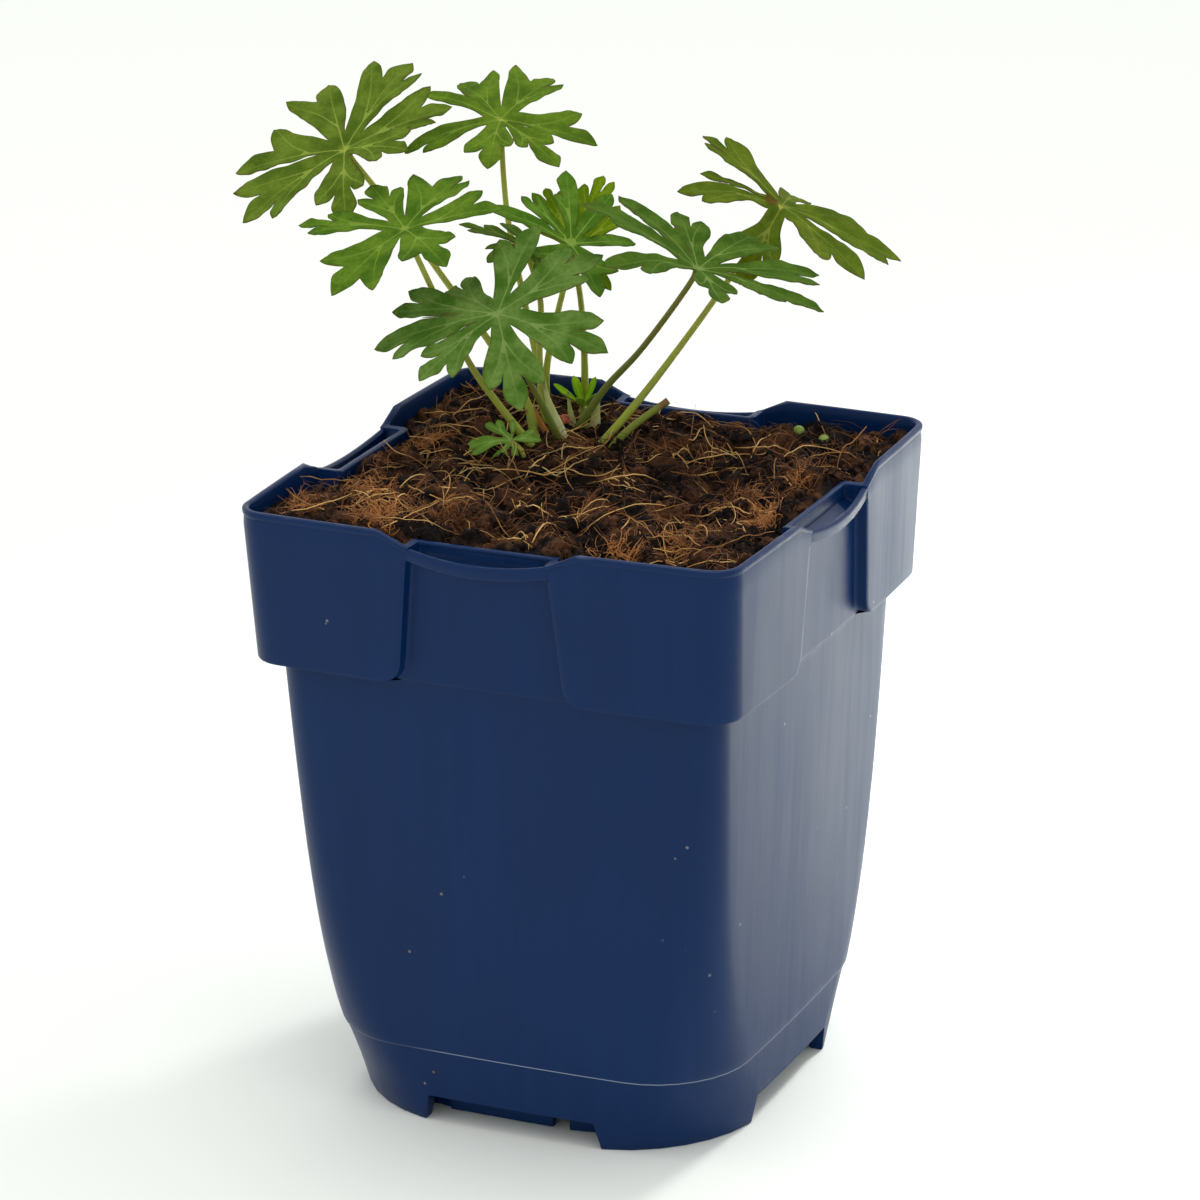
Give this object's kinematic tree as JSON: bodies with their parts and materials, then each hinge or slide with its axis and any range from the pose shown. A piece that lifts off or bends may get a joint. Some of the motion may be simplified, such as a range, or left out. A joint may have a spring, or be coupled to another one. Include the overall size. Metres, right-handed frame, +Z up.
{
  "type": "potted hardy geranium",
  "caption": "Young hardy geranium with deeply cut palmate leaves on slender stalks, in a square tapered nursery pot with a deep winged collar and soil.",
  "frame": {"origin": "centre of the bounding box in plan, on the plane the pot's feet stand on", "axes": "+Z up; -Y and +X are the outward directions of the two pot sides that face the viewer, square to the pot's sides"},
  "size_m": [0.124, 0.112, 0.1666],
  "materials": {
    "pot": "satin navy blue, lightly dusty",
    "soil": "dark brown peat with lighter coir fibres",
    "leaf": "green leaf with paler veins",
    "young_leaf": "fresh yellow-green leaf",
    "stalk": "fibrous green-brown stalk with a dry cut end"
  },
  "bodies": {
    "root": {"pot": "pot", "soil": "soil", "leaf_top_left": "leaf", "leaf_top_middle": "leaf", "leaf_middle_left": "leaf", "leaf_centre": "leaf", "leaf_centre_back": "leaf", "leaf_right_centre": "leaf", "leaf_front": "leaf", "leaf_right": "leaf", "leaf_behind_front": "leaf", "leaf_low": "leaf", "leaf_unfolding": "young_leaf", "stalk_stub": "stalk"}
  },
  "joints": []
}
